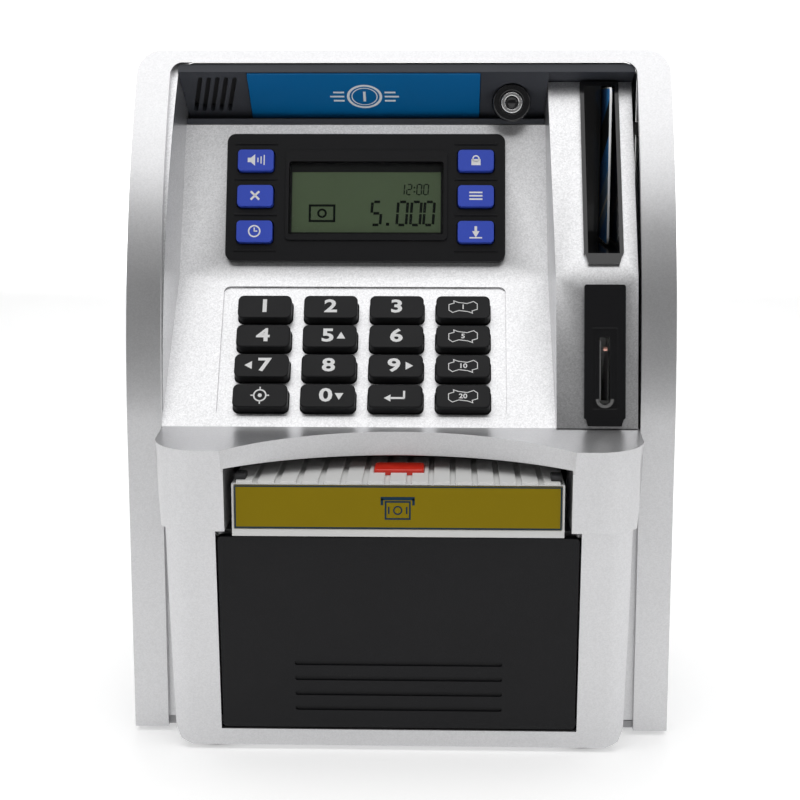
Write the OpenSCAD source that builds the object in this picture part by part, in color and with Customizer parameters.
// Toy cash machine savings bank.
// Millimetres, +Z up, front towards -Y, origin on the floor under the middle of the bank.

/* [Case] */
// Width of the hood
case_w = 184; // [180:1:190]
// Height of the bank on its feet
case_h = 233; // [231:1:236]
// Depth from the shelf's front to the rear cover
case_d = 152; // [150:1:156]
// Wall of the hood
wall = 2.5; // [2:0.1:3]
// Radius of the hood's two top corners
corner_r = 8; // [6:1:10]
// Width of the hood's front rim at the sides
rim_w = 11.6; // [11:0.1:12]
// Height of the hood's front rim at the top
rim_top = 4.3; // [4:0.1:4.6]
// Radius of the hood's swept-back front
sweep_r = 220; // [210:1:240]
// Height at which the front starts to sweep back
sweep_z = 105; // [102:1:106]

/* [Face] */
// Height of the keypad slope's lower edge
slope_z = 107.6; // [107:0.1:108]
// Lean of the keypad slope
keypad_angle = 55; // [54:1:56]
// Length of the keypad slope
keypad_len = 58.2; // [57.8:0.1:58.6]
// Lean of the screen slope
screen_angle = 72; // [71:0.5:73]
// Length of the screen slope
screen_len = 54.6; // [54:0.1:55]
// Lean of the header, past upright
header_angle = 140; // [139:1:141]
// Length of the header
header_len = 24.8; // [24.5:0.1:25]
// Thickness of the face mouldings
face_t = 2.2; // [2:0.1:2.4]
// Left edge of the pillar
pillar_x = 52.4; // [52:0.1:53]

/* [Keys] */
// Width of a keypad key
key_w = 18.5; // [18:0.1:19]
// Length of a keypad key up the slope
key_l = 8.6; // [8:0.1:9]
// Pitch of the keypad's columns
key_px = 22.8; // [22.5:0.1:23.2]
// Pitch of the keypad's rows
key_py = 11.3; // [11:0.1:11.5]
// Height of a key's face over the slope
key_h = 4; // [3:0.1:4.5]
// Width of a function key
fkey_w = 12.6; // [12:0.1:13]
// Height of a function key
fkey_l = 7.7; // [7.2:0.1:8]
// Pitch of the function keys
fkey_py = 12.8; // [12.5:0.1:13]
// Gap between a key and its hole
key_gap = 0.35; // [0.3:0.05:0.5]

/* [Shelf and door] */
// Half width of the shelf at its top
shelf_x = 80; // [79:0.1:80.5]
// How far the shelf stands out of the hood's front
shelf_out = 30; // [29:0.5:31]
// Height of the joint between the shelf and the lower case
shelf_z = 78.5; // [78:0.1:79]
// Width of the door
door_w = 118; // [117:0.5:118.5]
// Lowest edge of the door
door_z = 8; // [7.8:0.1:8.2]
// Highest edge of the door
door_top = 75.6; // [75:0.1:75.6]
// Lean of the lower case's front
lower_lean = 5.9; // [5.5:0.1:6.2]

/* [Slots] */
// Long side of the savings card
card_l = 85.6; // [85:0.1:86]
// Short side of the savings card
card_h = 54; // [53:0.1:54.5]
// Thickness of the savings card
card_t = 0.8; // [0.7:0.1:0.9]
// Width of the coin slot
coin_slot_w = 3.4; // [3:0.1:3.6]
// Height of the coin slot
coin_slot_h = 22; // [21:0.5:23]

/* [Hidden] */
$fn = 64;
eps = 0.01;
foot_h = 1.5;                       // the case stands this far over the floor
front_y = shelf_out - case_d / 2;   // the hood's front plane
deep = case_d - shelf_out;          // hood depth behind that plane
half_w = case_w / 2;
open_x = half_w - rim_w;            // half width of the hood's front opening
open_z = case_h - rim_top;          // height of that opening
rim_t = 3;                          // thickness of the rim
card_x = 70.9;                       // left face of the card
card_y = 33;                        // front edge of the card
card_z = 166.2;                     // lowest edge of the card
coin_x = 68.2;                      // middle of the coin slot
camera_x = 37.8;                    // middle of the dummy camera
camera_z = 215;
grille_x = -66.4;                   // middle of the speaker grille
face_x = -13.2;                     // middle of the keypad, the display and the sign
lower_x = 76.8;                     // half width of the lower case at its top
lower_y = -16.2;                    // its front at the floor
hinge = [1.9, 8.9];                 // door hinge axis, in the lower case's leaning frame
hinge_r = 1.5;
door_t = 3;
run_gap = 0.05;                     // radial gap of a pin in its bore
roller_y = 14;                      // note roller axis
roller_z = 101.6;
roller_r = 6;
gear_teeth = 24;
pinion_teeth = 10;
tooth = 0.75;                       // gear module
gear_x = -68;
motor_z = roller_z - (gear_teeth + pinion_teeth) * tooth / 2;
lever_y = 38;                       // coin lever axis
lever_z = 104;
tray_x = 53.8;
tray_y = -26;
tray_z = 94;                        // top of the note tray, under its ribs
slot_top = 99.4;                    // underside of the shelf over the note slot
roof_z = 76.4;                      // top of the lower case's roof
bolt_z = 66;
bolt_y = -6;
battery_x = 27;                     // inner half width and half height of the battery box
battery_h = 23.6;
battery_z = 147;                    // middle of the battery box
switch_x = -50;
screw_x = 80;
screw_zs = [22, 205];
field_w = 98.2;                      // sunk field of the keypad
field_l = 49.8;
field_mid = 28.9;
keypad_mid = 26.85;                 // middle of the keys, up the slope
key_deep = 4.6;                     // how far a key reaches behind the slope
bezel_w = 97.9;                     // display surround
bezel_l = 45.8;
display_mid = 27.5;
window_w = 54.2;
window_l = 26.3;
window_up = -0.45;
fkey_x = 38.65;                     // function keys, from the middle of the display
sign_w = 80.9;
sign_l = 23.4;
sign_x = -13.75;
draft_x = -77;                      // left wall of the recess at its far end
camera_y = 42.5;                    // front and back of the dummy camera
camera_back = 52.4;
card_bezel_x = 68;
card_bezel_w = 13.4;
high_mid = 40.55;                   // middle of the card opening, up the pillar
low_mid = 24.3;                     // middle of the coin slot's bezel, up the pillar
slot_mid = 19.4;
foot_r = 7;
rear_feet = [[-70, 106], [70, 106]];
front_feet = [[-62, -6], [62, -6]];
battery_r = 7.1;
battery_l = 50;
cell_gap = 15;

// Slopes: [depth, height, angle] of the lower edge, in the face's side view
KEYPAD = [0, slope_z, keypad_angle];
SCREEN = [keypad_len * cos(keypad_angle), slope_z + keypad_len * sin(keypad_angle), screen_angle];
HEADER = [56, 209.5, header_angle];
POST_LOW = [-1.8, 108, 78.9];
POST_HIGH = [8, 158, 60];
low_len = 51;
high_len = 74;

KEYS = [for (i = [1 : 16]) str("keypad_key_", i)];
FKEYS = [for (i = [1 : 6]) str("function_key_", i)];

// ---- helpers -------------------------------------------------------------------------

// Moves a child drawn from the hood's front plane into the bank's own frame
module placed() { translate([0, front_y, 0]) children(); }

// A side view (depth, height) extruded from x0 to x1
module side(x0, x1) { translate([x0, 0, 0]) rotate([90, 0, 90]) linear_extrude(x1 - x0) children(); }

// A front view (x, height) extruded from depth y0 to depth y1
module front(y0, y1) { translate([0, y1, 0]) rotate([90, 0, 0]) linear_extrude(y1 - y0) children(); }

// A plan (x, depth) extruded from z0 to z1
module plan(z0, z1) { translate([0, 0, z0]) linear_extrude(z1 - z0) children(); }

// Draws children on a slope: x across, y up the slope, z out of it
module on(slope) { translate([0, slope[0], slope[1]]) rotate([slope[2], 0, 0]) children(); }

module box(lo, hi) { translate(lo) cube(hi - lo); }

// Rounded rectangle about its middle
module pad2d(w, l, r) {
    square([w - 2 * r, l], center = true);
    square([w, l - 2 * r], center = true);
    for (x = [-1, 1], y = [-1, 1]) translate([x * (w / 2 - r), y * (l / 2 - r)]) circle(r);
}

module pad(w, l, r, z0, z1) { translate([0, 0, z0]) linear_extrude(z1 - z0) pad2d(w, l, r); }

// Upright rectangle with two rounded top corners. The corner circles cross its edges
// rather than touch them.
module arch2d(w, z0, z1, r) {
    over = 0.03;
    intersection() {
        translate([-w / 2, z0]) square([w, z1 - z0]);
        union() {
            translate([-w / 2 - 1, z0 - 1]) square([w + 2, z1 - z0 - r + 1]);
            translate([r - w / 2, z0]) square([w - 2 * r, z1 - z0 + 1]);
            for (x = [-1, 1]) translate([x * (w / 2 - r), z1 - r]) circle(r + over);
        }
    }
}

// Side view of the hood from height low, its front moved back by back. The arc starts a
// little in front of the upright edge, so that the two cross instead of only touching.
module hood2d(back = 0, low = foot_h) {
    lead = 0.05;
    intersection() {
        translate([back, low]) square([deep + 1, case_h - low]);
        union() {
            translate([back - 1, low - 1]) square([deep + 3, sweep_z - low + 1]);
            translate([sweep_r + back - lead, sweep_z]) circle(sweep_r, $fn = 180);
        }
    }
}

// A point at distance s up a slope, and n out of it, as [depth, height]
function at(slope, s, n = 0) = [
    slope[0] + s * cos(slope[2]) - n * sin(slope[2]),
    slope[1] + s * sin(slope[2]) + n * cos(slope[2])];

// The kink between slope a, len long, and slope b, seen t behind their faces
function kink(a, len, b, t) = at(a, len + t * tan((b[2] - a[2]) / 2), -t);

// ---- hood, rear and base -----------------------------------------------------------------

module outer_shell() {
    boss_y = deep - 2.6;
    color("silver") placed() {
        difference() {
            intersection() {
                front(-1, deep) arch2d(case_w, foot_h, case_h, corner_r);
                side(-half_w, half_w) hood2d();
            }
            intersection() {
                front(0, deep + 2) arch2d(case_w - 2 * wall, 0, case_h - wall, corner_r - wall);
                side(-half_w, half_w) hood2d(rim_t, 0);
            }
            front(-2, 60) arch2d(2 * open_x, -1, open_z, 4);
            box([-half_w, deep, 0], [half_w, deep + 3, case_h + 1]);
        }
        // Posts for the rear cover's screws
        for (x = [-1, 1], z = screw_zs) difference() {
            union() {
                translate([x * screw_x, boss_y, z]) rotate([90, 0, 0]) cylinder(h = 12, r = 4);
                translate([x * (screw_x + half_w - wall) / 2, boss_y - 6, z])
                    cube([half_w - wall - screw_x + 0.4, 12, 5], center = true);
            }
            translate([x * screw_x, boss_y + 1, z]) rotate([90, 0, 0]) cylinder(h = 14, r = 1.55);
        }
    }
}

module rear_cover() {
    color("darkgray") placed() difference() {
        union() {
            front(deep - wall, deep)
                arch2d(case_w - 2 * wall - 0.4, foot_h, case_h - wall - 0.2, corner_r - wall);
            // Battery box
            box([-battery_x - 1.8, deep - 18.5, battery_z - battery_h - 1.8],
                [battery_x + 1.8, deep - wall + eps, battery_z + battery_h + 1.8]);
        }
        box([-battery_x, deep - 16.7, battery_z - battery_h],
            [battery_x, deep + 1, battery_z + battery_h]);
        box([-battery_x - 3.2, deep - 1.9, battery_z - battery_h - 3.2],
            [battery_x + 3.2, deep + 1, battery_z + battery_h + 3.2]);
        // Slot for the power switch
        box([switch_x - 5.6, deep - 5, battery_z - 2], [switch_x + 5.6, deep + 1, battery_z + 2]);
        for (x = [-1, 1], z = screw_zs) translate([x * screw_x, deep + 1, z]) rotate([90, 0, 0]) {
            cylinder(h = 5, r = 1.6);
            cylinder(h = 2.2, r = 3.2);
        }
    }
}

module battery_cover() {
    grip_w = 16;
    color("dimgray") placed() difference() {
        box([-battery_x - 3, deep - 1.8, battery_z - battery_h - 3],
            [battery_x + 3, deep, battery_z + battery_h + 3]);
        for (i = [0 : 2]) box([-grip_w / 2, deep - 0.6, battery_z + battery_h - 3 * i],
            [grip_w / 2, deep + 1, battery_z + battery_h - 3 * i + 1.2]);
    }
}

module batteries() {
    color("goldenrod") placed() for (i = [-1 : 1])
        translate([-battery_l / 2, deep - 9.2, battery_z + i * cell_gap]) rotate([0, 90, 0]) {
            cylinder(h = battery_l - 1.2, r = battery_r);
            cylinder(h = battery_l, r = 2.7);
        }
}

module power_switch() {
    color("black") placed() {
        box([switch_x - 9, deep - 4.8, battery_z - 4], [switch_x + 9, deep - 3, battery_z + 4]);
        box([switch_x - 3, deep - 3 - eps, battery_z - 1.6], [switch_x + 3, deep - 0.3, battery_z + 1.6]);
    }
}

module case_screws() {
    color("dimgray") placed() for (x = [-1, 1], z = screw_zs)
        translate([x * screw_x, deep - 0.1, z]) rotate([90, 0, 0]) difference() {
            union() {
                cylinder(h = 1.1, r = 3);
                cylinder(h = 12, r = 1.5);
            }
            translate([-2, -0.4, -1]) cube([4, 0.8, 1.6]);
            translate([-0.4, -2, -1]) cube([0.8, 4, 1.6]);
        }
}

module base_plate() {
    color("silver") placed() difference() {
        box([0.2 + wall - half_w, rim_t + 0.2, foot_h],
            [half_w - wall - 0.2, deep - wall - 0.2, 4]);
        for (p = rear_feet) translate([p[0], p[1], 0]) cylinder(h = foot_h + 0.6, r = foot_r + 0.1);
    }
}

module rubber_feet() {
    color("dimgray") placed() for (p = concat(rear_feet, front_feet))
        translate([p[0], p[1], 0]) cylinder(h = foot_h + 0.5, r = foot_r);
}

// ---- recessed face ----------------------------------------------------------------------

// The face's own line, from the shelf to the header
module face_strip2d(t) {
    polygon([at(KEYPAD, 0), at(SCREEN, 0), at(SCREEN, screen_len),
             at(SCREEN, screen_len, -t), kink(KEYPAD, keypad_len, SCREEN, t), at(KEYPAD, 0, -t)]);
}

// All that lies in front of the face, and back behind the hood's front
module before_face2d(back) {
    top = at(SCREEN, screen_len, -face_t);
    intersection() {
        hood2d(back);
        polygon([[-5, slope_z - 2], at(KEYPAD, 0, -face_t),
                 kink(KEYPAD, keypad_len, SCREEN, face_t), top, [top[0] + 6, open_z - 1],
                 [-5, open_z - 1]]);
    }
}

module post_strip2d(t) {
    polygon([at(POST_LOW, 0), at(POST_HIGH, 0), at(POST_HIGH, high_len),
             at(POST_HIGH, high_len, -t), kink(POST_LOW, low_len, POST_HIGH, t), at(POST_LOW, 0, -t)]);
}

// All that lies behind the pillar's front, down to depth back
module post_side2d(back) {
    top = at(POST_HIGH, high_len);
    polygon([at(POST_LOW, 0), at(POST_HIGH, 0), top, [back, top[1]], [back, slope_z - 0.6]]);
}

module keypad_places() {
    for (r = [0 : 3], c = [0 : 3]) translate(key_at(4 * r + c)) children();
}

// Place of keypad key i on its slope, counted from the top left key
function key_at(i) = [
    face_x + 0.1 + (i % 4 - 1.5) * key_px,
    keypad_mid + (1.5 - floor(i / 4)) * key_py, 0];

// Place of function key i on its slope, down the left side and then down the right side
function fkey_at(i) = [
    face_x + (i < 3 ? -1 : 1) * fkey_x, display_mid + (1 - i % 3) * fkey_py, 0];

module front_panel() {
    left = -open_x - 1.8;
    pillar_end = open_x - 1;
    edge = [at(POST_LOW, 0), at(POST_HIGH, 0), at(POST_HIGH, high_len)];
    color("gainsboro") placed() difference() {
        union() {
            side(-open_x, pillar_x + 1) face_strip2d(face_t);
            side(left, -open_x + 0.01) intersection() {
                face_strip2d(face_t);
                hood2d(rim_t + 0.1);
            }
            // Left wall of the recess
            intersection() {
                side(left, -70) before_face2d(rim_t + 0.1);
                plan(0, case_h) polygon([[left, 0], [-open_x, 0], [draft_x, 56], [draft_x, 70], [left, 70]]);
            }
            // Pillar: front, left wall, right wall and cap
            side(pillar_x, pillar_end) post_strip2d(face_t);
            intersection() {
                side(pillar_x - 5, pillar_x + 3) intersection() {
                    post_side2d(64);
                    before_face2d(-10);
                }
                plan(0, case_h) polygon([[pillar_x, -3], [pillar_x + 2, -3], [pillar_x + 0.2, 70],
                                         [pillar_x - 2.6, 70], [pillar_x - 2.6, 56]]);
            }
            side(pillar_end - 2, pillar_end) polygon(concat(edge, [for (i = [2 : -1 : 0]) edge[i] + [12, 0]]));
        }
        // Sunk field and holes of the keypad
        on(KEYPAD) {
            translate([face_x, field_mid, 0]) pad(field_w, field_l, 2.2, -0.8, 2);
            keypad_places() pad(key_w + 2 * key_gap, key_l + 2 * key_gap, 2.2, -5, 2);
        }
        on(SCREEN) translate([face_x, display_mid, 0]) pad(bezel_w - 4, bezel_l - 4, 2, -5, 5);
        on(POST_LOW) translate([coin_x, low_mid, 0]) pad(9, 37, 1, -5, 5);
        on(POST_HIGH) translate([card_bezel_x, high_mid, 0]) pad(card_bezel_w - 1, 67.3, 1, -5, 5);
    }
}

module keypad_membrane() {
    color("dimgray") placed() on(KEYPAD) translate([face_x, keypad_mid, 0])
        pad(92, 46, 2, -key_deep - 3.4, -key_deep - 1.8);
}

// A key with a flange that keeps it behind its hole
module key(w, l, r, rise, deep_by, flange) {
    difference() {
        union() {
            pad(w, l, r, -deep_by + 0.8, rise);
            pad(w + 2 * flange, l + 2 * flange, r, -deep_by - 0.2, -deep_by + 0.9);
        }
        // Cavity under the key
        pad(w - 3, l - 3, 1, -deep_by - 1, rise - 2);
    }
}

module keypad_key(i) {
    color("#1c1c1e") placed() on(KEYPAD) translate(key_at(i)) key(key_w, key_l, 2, key_h, key_deep, 0.9);
}

module function_key(i) {
    color("royalblue") placed() on(SCREEN) translate(fkey_at(i)) key(fkey_w, fkey_l, 1.4, 5, key_deep, 0.6);
}

module display_bezel() {
    ledge_x = fkey_x - fkey_w / 2 - key_gap - 0.8;
    color("#242426") placed() on(SCREEN) translate([face_x, display_mid, 0]) difference() {
        union() {
            pad(bezel_w, bezel_l, 3, 0, 3);
            pad(bezel_w - 4.6, bezel_l - 4.6, 2, -face_t, eps);
            // Raised frame round the window
            translate([0.3, 0.5, 0]) pad(56.8, 32.1, 1.5, 2, 3.8);
            for (x = [-1, 1], k = [-1.5 : 1.5])
                translate([x * fkey_x, k * fkey_py, 3]) cube([15, 0.6, 0.8], center = true);
        }
        translate([0.2, window_up, 0]) pad(window_w, window_l, 1, -5, 9);
        for (i = [0 : 5]) translate(fkey_at(i) - [face_x, display_mid, 0])
            pad(fkey_w + 2 * key_gap, fkey_l + 2 * key_gap, 1.6, -5, 9);
    }
}

module display_window() {
    color("slategray", 0.4) placed() on(SCREEN) translate([face_x + 0.2, display_mid + window_up, 0])
        pad(window_w - 0.3, window_l - 0.3, 1, 1.6, 2.6);
}

module lcd_module() {
    color("darkolivegreen") placed() on(SCREEN) translate([face_x + 0.2, display_mid + window_up, 0])
        pad(window_w - 0.6, window_l - 0.6, 0.8, -key_deep - 0.6, 1.4);
}

module main_board() {
    color("darkgreen") placed() on(SCREEN) translate([face_x, display_mid, 0])
        pad(bezel_w - 6, bezel_l - 8, 1, -key_deep - 3.4, -key_deep - 1.8);
}

// ---- header ------------------------------------------------------------------------------

module header_visor() {
    end = at(HEADER, header_len);
    low = at(HEADER, 0);
    post_top = at(POST_HIGH, high_len);
    crest = end + [1.5, 2.6];
    ledge = at(SCREEN, screen_len) + [0.4, 0.2];
    color("#3a3d44") placed() difference() {
        union() {
            // Sloping header, with the ledge that joins it to the screen slope
            intersection() {
                side(-80, pillar_x) polygon([low, end, crest, at(HEADER, header_len - 4, -3),
                    at(HEADER, 0, -3), [low[0] + 3, ledge[1]], ledge, [ledge[0], low[1] - 0.2]]);
                plan(0, case_h) polygon([[-78.4, 30], [draft_x - 1, 37], [draft_x + 0.1, 56],
                    [draft_x + 0.1, 70], [49.6, 70], [49.6, 56], [50.4, 37], [50.6, 30]]);
            }
            // The same strip carried on over the pillar
            side(50, open_x - 0.6) polygon([end, crest, [62, open_z - 0.8], [62, post_top[1] + 0.1],
                                            [post_top[0] + 1, post_top[1] + 0.1]]);
        }
        // Slanted slots of the speaker grille
        on(HEADER) translate([grille_x, header_len / 2 + 0.5, 0]) for (i = [-2 : 2])
            translate([i * 3, 0, 0]) rotate([0, 0, -12]) pad(1.5, 18.6, 0.74, -5, 3);
        // Shallow seat of the sign
        on(HEADER) translate([sign_x, header_len / 2, 0])
            pad(sign_w + 0.4, sign_l + 0.3, 0.6, -0.8, 3);
        // Seat of the dummy camera
        translate([camera_x, 0, camera_z]) rotate([-90, 0, 0])
            translate([0, 0, 40]) cylinder(h = camera_back - 39.8, r = 6.75);
    }
}

module sign_panel() {
    color("#0063a0") placed() on(HEADER) translate([sign_x, header_len / 2, 0])
        pad(sign_w, sign_l, 0.5, -0.8, 0.5);
}

module camera_housing() {
    color("#141416") placed() translate([camera_x, 0, camera_z]) rotate([-90, 0, 0]) difference() {
        translate([0, 0, camera_y]) cylinder(h = camera_back - camera_y, r = 6.6);
        translate([0, 0, camera_y - 1]) cylinder(h = 3.2, r = 3.8);
    }
}

module camera_ring() {
    color("silver") placed() translate([camera_x, 0, camera_z]) rotate([-90, 0, 0]) difference() {
        translate([0, 0, camera_y - 0.8]) cylinder(h = 3, r = 3.7);
        translate([0, 0, camera_y - 1]) cylinder(h = 2.2, r = 2.3);
    }
}

module speaker() {
    color("dimgray") placed() on(HEADER) translate([grille_x + 1, header_len / 2 - 1, 0]) {
        translate([0, 0, -5]) cylinder(h = 1.8, r = 11);
        translate([0, 0, -9]) cylinder(h = 4 + eps, r = 6.5);
    }
}

// ---- card slot and coin slot ---------------------------------------------------------------

// The point of the pillar's upper slope at height z, just proud of it
function face_at(z) = [POST_HIGH[0] - 0.5 + (z - POST_HIGH[1]) / tan(POST_HIGH[2]), z];

module card_slot_bezel() {
    z0 = 164.2;
    z1 = 221.9;
    rail_end = 112;
    back = 60;
    color("#0c0c0e") placed() {
        difference() {
            union() {
                on(POST_HIGH) translate([card_bezel_x, 0, 0]) {
                    translate([0, 40.4, 0]) pad(card_bezel_w, 66, 0.8, 0, 1.5);
                    linear_extrude(1.5) polygon([[-card_bezel_w / 2, 9], [-5.2, 3.8], [5.2, 3.8],
                                                 [card_bezel_w / 2, 9]]);
                }
                side(card_bezel_x - 6.1, card_bezel_x + 6.1) polygon([face_at(z0), face_at(z1),
                    [back + 1.5, z1], [back + 1.5, z0]]);
            }
            // Pocket in front of the card's guide
            box([card_bezel_x - 5.3, -20, z0 + 1.2], [card_bezel_x + 5.3, back, z1 - 1.2]);
            box([card_x - 0.5, back - 1, card_z - 0.4],
                [card_x + card_t + 0.5, back + 3, z1 + 1]);
        }
        // Rails that guide the card
        for (x = [card_x - 1.7, card_x + card_t + 0.5])
            box([x, back + 1.4, z0], [x + 1.2, rail_end, z1]);
        box([card_x - 1.7, back + 1.4, z0], [card_x + card_t + 1.7, rail_end, card_z - 0.4]);
    }
}

module savings_card() {
    color("#1f5fae") placed() side(card_x, card_x + card_t)
        translate([card_y + card_l / 2, card_z + card_h / 2]) pad2d(card_l, card_h, 3);
}

module coin_slot_bezel() {
    color("#101012") placed() on(POST_LOW) translate([coin_x, 0, 0]) difference() {
        union() {
            translate([0, low_mid + 1.2, 0]) pad(13.8, 45, 0.8, 0, 1.6);
            linear_extrude(1.6) polygon([[-6.9, 5], [-5.6, 0.7], [5.6, 0.7], [6.9, 5]]);
            translate([0, low_mid, 0]) pad(8.6, 36.6, 0.8, -4.8, eps);
        }
        translate([0, slot_mid, 0]) pad(coin_slot_w, coin_slot_h, 0.4, -7, 3);
        // Sunk field round the slot
        translate([0, slot_mid + 0.6, 0]) pad(8.4, 27, 0.6, 0.9, 3);
    }
}

module coin_contacts() {
    color("silver") placed() on(POST_LOW) translate([coin_x, slot_mid, 0]) {
        translate([-coin_slot_w / 2, 1 - coin_slot_h / 2, -4.6]) cube([0.4, coin_slot_h - 2, 5]);
        translate([0, 1.4 - coin_slot_h / 2, 0.95]) difference() {
            cylinder(h = 0.6, r = 3);
            translate([0, 0, -1]) cylinder(h = 3, r = 2);
            translate([-4, 0, -1]) cube([8, 4, 3]);
        }
    }
}

module coin_chute() {
    gap = 3.8;
    skin = 1.4;
    x0 = coin_x - gap / 2;
    x1 = coin_x + gap / 2;
    color("whitesmoke") placed() difference() {
        union() {
            side(x0 - skin, x1 + skin) polygon([[9.8, 141.4], [16.7, 141.4], [35.4, 112.4], [35.4, 74],
                                                [22.6, 74], [22.6, 105.2], [9.8, 114.1]]);
            // Ears that hold the lever's pin
            box([x0 - skin, 35.2, lever_z - 3.4], [x0 - 0.2, 41.5, lever_z + 3.4]);
            box([x1 + 0.2, 35.2, lever_z - 3.4], [x1 + skin, 41.5, lever_z + 3.4]);
        }
        side(x0, x1) polygon([[9, 140], [16, 140], [34, 112], [34, 73], [24, 73], [24, 106], [9, 116]]);
        box([coin_x - 1.2, 33, lever_z - 4.5], [coin_x + 1.2, 36, lever_z + 5]);
        translate([x0 - 3, lever_y, lever_z]) rotate([0, 90, 0]) cylinder(h = 12, r = 1 + run_gap);
    }
}

module coin_lever() {
    pin = 6.4;
    color("orange") placed() {
        translate([coin_x - pin / 2, lever_y, lever_z]) rotate([0, 90, 0]) cylinder(h = pin, r = 1);
        translate([coin_x - 1.6, lever_y, lever_z]) rotate([0, 90, 0]) cylinder(h = 3.2, r = 2.2);
        side(coin_x - 0.7, coin_x + 0.7) polygon([[lever_y, lever_z - 1], [lever_y, lever_z + 1],
                                                  [28, 107.4], [28, 106]]);
    }
}

// ---- shelf and note slot -------------------------------------------------------------------

// Block with a leaning front, rounded front corners and tapered sides
module lean_block(y, z0, lean, half, r, inset) {
    translate([0, y, z0]) rotate([lean, 0, 0]) translate([0, 40 + inset, -20]) linear_extrude(140)
        pad2d(2 * (half - inset), 80, r - inset);
}

module shelf_housing() {
    lean = 4;
    y = 2 - shelf_out;
    back = -0.3;
    top = [[-40, 104.8], [back, slope_z + 0.2], [back, shelf_z], [-40, shelf_z]];
    taper = [[-77.8, shelf_z], [-shelf_x, slope_z + 1], [shelf_x, slope_z + 1], [77.8, shelf_z]];
    color("silver") placed() difference() {
        intersection() {
            lean_block(y, shelf_z, lean, shelf_x, 16, 0);
            side(-90, 90) polygon(top);
            front(-45, 5) polygon(taper);
        }
        // Hollow of the two side blocks
        for (x = [-1, 1]) intersection() {
            lean_block(y, shelf_z, lean, shelf_x, 16, 2.3);
            side(-90, 90) translate([0, -2.4]) polygon(top);
            box([x > 0 ? 58.4 : -77, -40, 60], [x > 0 ? 77 : -58.4, -2.5, 110]);
        }
        // Room for the note tray, and the hollowed edge over it
        box([-56, -45, 60], [56, 5, slot_top]);
        translate([0, -86, slot_top - 1]) cylinder(h = 20, r = 80, $fn = 180);
    }
}

module bill_tray() {
    back = 26;
    pitch = 7.1;
    rib = 5.2;
    color("whitesmoke") placed() difference() {
        union() {
            box([-tray_x, tray_y, roof_z + 0.2], [tray_x, back, tray_z]);
            intersection() {
                for (i = [-7 : 7]) box([i * pitch - rib / 2, tray_y, tray_z - eps],
                                       [i * pitch + rib / 2, back, tray_z + 1]);
                box([-tray_x, tray_y, tray_z - 1], [tray_x, back, tray_z + 1]);
            }
            // Bearings of the note roller
            for (x = [-50, 47.6]) side(x, x + 2.4) {
                translate([roller_y - 4.5, tray_z - 1]) square([9, roller_z - tray_z + 1]);
                translate([roller_y, roller_z]) circle(4.5);
            }
        }
        box([2 - tray_x, tray_y + 2, 0], [tray_x - 2, back + 1, tray_z - 2]);
        translate([-60, roller_y, roller_z]) rotate([0, 90, 0]) cylinder(h = 120, r = 2 + run_gap);
        // Seats of the label and of the red light
        box([-53.1, tray_y - 1, 79.1], [53.1, tray_y + 0.5, 93.7]);
        box([-8.4, -12.9, tray_z], [8.4, -0.8, tray_z + 3]);
    }
}

module bill_label() {
    color("#7e6800") placed() box([-52.9, tray_y - 0.3, 79.3], [52.9, tray_y + 0.5, 93.5]);
}

module indicator_lens() {
    color("red") placed() translate([0, -6.85, 0]) pad(16.4, 11.7, 1.5, tray_z, tray_z + 2);
}

module feed_roller() {
    color("dimgray") placed() translate([0, roller_y, roller_z]) rotate([0, 90, 0]) {
        translate([0, 0, gear_x - 1]) cylinder(h = 53 - gear_x, r = 2);
        for (x = [-32, 0, 32]) translate([0, 0, x - 7]) cylinder(h = 14, r = roller_r);
    }
}

// Spur gear about z, its first tooth along x or, with half set, its first gap
module gear(teeth, h, bore, half) {
    pitch_r = teeth * tooth / 2;
    root_r = pitch_r - 1.2 * tooth;
    tip_r = pitch_r + 0.8 * tooth;
    linear_extrude(h) difference() {
        union() {
            circle(root_r);
            for (i = [0 : teeth - 1]) rotate((i + half / 2) * 360 / teeth)
                polygon([[root_r - 0.4, -0.62], [pitch_r, -0.48], [tip_r, -0.22],
                         [tip_r, 0.22], [pitch_r, 0.48], [root_r - 0.4, 0.62]]);
        }
        if (bore > 0) circle(bore);
    }
}

module roller_gear() {
    color("white") placed() translate([gear_x, roller_y, roller_z]) rotate([0, 90, 0])
        gear(gear_teeth, 6, 2, 0);
}

module motor_pinion() {
    color("white") placed() translate([gear_x, roller_y, motor_z]) rotate([0, 90, 0]) {
        rotate(180) gear(pinion_teeth, 6, 0, 1);
        translate([0, 0, -8]) cylinder(h = 8 + eps, r = 1);
    }
}

module feed_motor() {
    color("silver") placed() difference() {
        union() {
            translate([gear_x - 18, roller_y, motor_z]) rotate([0, 90, 0]) cylinder(h = 16, r = 9);
            translate([gear_x - 3.5, roller_y, motor_z]) rotate([0, 90, 0]) cylinder(h = 2, r = 3);
            box([gear_x - 18, roller_y - 9, roof_z + 0.2], [gear_x - 2, roller_y + 9, motor_z - 6]);
        }
        translate([gear_x - 14, roller_y, motor_z]) rotate([0, 90, 0]) cylinder(h = 14, r = 1 + run_gap);
    }
}

// ---- lower case, door and cash box -----------------------------------------------------------

// Draws children in the lower case's leaning frame: x across, y inwards, z up its front
module leaning() { translate([0, lower_y, foot_h]) rotate([lower_lean, 0, 0]) children(); }

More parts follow.
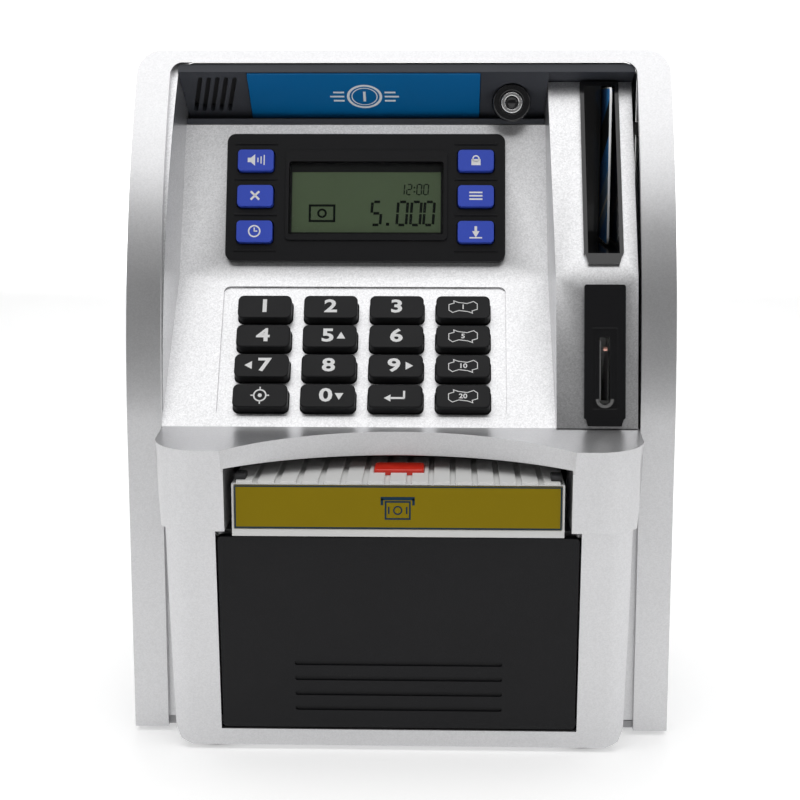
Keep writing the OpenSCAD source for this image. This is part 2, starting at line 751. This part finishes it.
module lower_case() {
    y1 = 3;
    low_x = lower_x - 1.4;
    r = 6;
    taper = [[-lower_x, shelf_z], [-low_x, foot_h + r], [-low_x + r * 0.3, foot_h + r * 0.3],
             [-low_x + r, foot_h], [low_x - r, foot_h], [low_x - r * 0.3, foot_h + r * 0.3],
             [low_x, foot_h + r], [lower_x, shelf_z]];
    ear = 4;
    color("silver") placed() difference() {
        union() {
            difference() {
                intersection() {
                    lean_block(lower_y, foot_h, lower_lean, lower_x + 0.4, 8, 0);
                    box([-90, -40, foot_h], [90, y1, shelf_z - 0.1]);
                    front(-45, 20) polygon(taper);
                }
                intersection() {
                    lean_block(lower_y, foot_h, lower_lean, lower_x + 0.4, 8, 2.3);
                    box([-72.8, -40, foot_h + 2.4], [72.8, y1 + 1, shelf_z + 1]);
                }
            }
            // Roof under the note tray, reaching back to carry the motor
            box([-73, -17.5, roof_z - 2], [73, 30, roof_z]);
            box([-88.8, y1 + 0.2, roof_z - 2], [-72, 30, roof_z]);
            // Side flanges behind the hood's rim
            for (x = [-1, 1]) {
                box([x > 0 ? 72.8 : -88.8, y1 + 0.2, 4.2], [x > 0 ? 88.8 : -72.8, y1 + 1.8, 105]);
                box([x > 0 ? 72.8 : -75, y1 - 1, 4.2], [x > 0 ? 75 : -72.8, y1 + 1, shelf_z - 0.1]);
            }
            // Ears that carry the door's pins
            for (x = [-1, 1]) leaning() translate([x > 0 ? door_w / 2 + 0.6 : -door_w / 2 - 0.6 - ear, 1, 4])
                cube([ear, 5, 9]);
        }
        // Doorway, and room for the tray in front of the roof
        leaning() box([-door_w / 2 - 0.6, -5, 5.9], [door_w / 2 + 0.6, 7, 90]);
        leaning() translate([-door_w / 2 - 3.4, hinge[0], hinge[1]]) rotate([0, 90, 0])
            cylinder(h = door_w + 6.8, r = hinge_r + run_gap);
        // The coin chute comes down through the roof
        box([coin_x - 3.5, 22.3, roof_z - 3], [coin_x + 3.5, 31, roof_z + 1]);
        for (p = front_feet) translate([p[0], p[1], 0]) cylinder(h = foot_h + 0.6, r = foot_r + 0.1);
    }
}

module safe_door() {
    z0 = (door_z - foot_h) / cos(lower_lean);
    z1 = (door_top - foot_h) / cos(lower_lean);
    color("#202022") placed() leaning() difference() {
        union() {
            translate([0, 0.4 + door_t, (z0 + z1) / 2]) rotate([90, 0, 0])
                pad(door_w, z1 - z0, 1.2, 0, door_t);
            translate([-door_w / 2 - 3, hinge[0], hinge[1]]) rotate([0, 90, 0])
                cylinder(h = door_w + 6, r = hinge_r);
        }
        // Finger grooves
        for (i = [0 : 3]) translate([0, 1.1, 13.6 + i * 5.45]) rotate([90, 0, 0]) pad(69, 1.6, 0.7, 0, 2);
    }
}

// Catch on the door's back: the bolt slides in over its arm and in front of its tooth
module door_latch() {
    back = 0.4 + door_t;
    latch_x = 31;
    arm_top = 60.4;
    color("silver") placed() leaning() side(latch_x, latch_x + 4)
        polygon([[back, arm_top - 3.8], [21.2, arm_top - 3.8], [21.2, arm_top + 6.1],
                 [19.5, arm_top + 6.1], [19.5, arm_top], [back, arm_top]]);
}

module bolt_solenoid() {
    color("silver") placed() difference() {
        box([7, bolt_y - 7, bolt_z - 6], [24, bolt_y + 7, roof_z - 2]);
        translate([6, bolt_y, bolt_z]) rotate([0, 90, 0]) cylinder(h = 30, r = 2 + run_gap);
    }
}

module door_bolt() {
    color("gray") placed() translate([1, bolt_y, bolt_z]) rotate([0, 90, 0]) {
        cylinder(h = 29.4, r = 2);
        translate([0, 0, -2]) cylinder(h = 2 + eps, r = 3.4);
    }
}

module cash_box() {
    color("#e4e4e0") placed() difference() {
        box([-72.4, 5.6, 4.2], [72.4, 64, 72]);
        box([-70.8, 5, 5.8], [70.8, 62.4, 73]);
    }
}

// ---- show one node or all ---------------------------------------------------------------------

outer_shell();
rear_cover();
base_plate();
front_panel();
header_visor();
sign_panel();
camera_housing();
camera_ring();
display_bezel();
display_window();
lcd_module();
keypad_membrane();
card_slot_bezel();
savings_card();
coin_slot_bezel();
coin_contacts();
coin_lever();
coin_chute();
shelf_housing();
bill_tray();
bill_label();
indicator_lens();
feed_roller();
roller_gear();
feed_motor();
motor_pinion();
lower_case();
safe_door();
door_latch();
door_bolt();
bolt_solenoid();
cash_box();
batteries();
battery_cover();
main_board();
speaker();
power_switch();
case_screws();
rubber_feet();
for (i = [0 : 5]) function_key(i);
for (i = [0 : 15]) keypad_key(i);
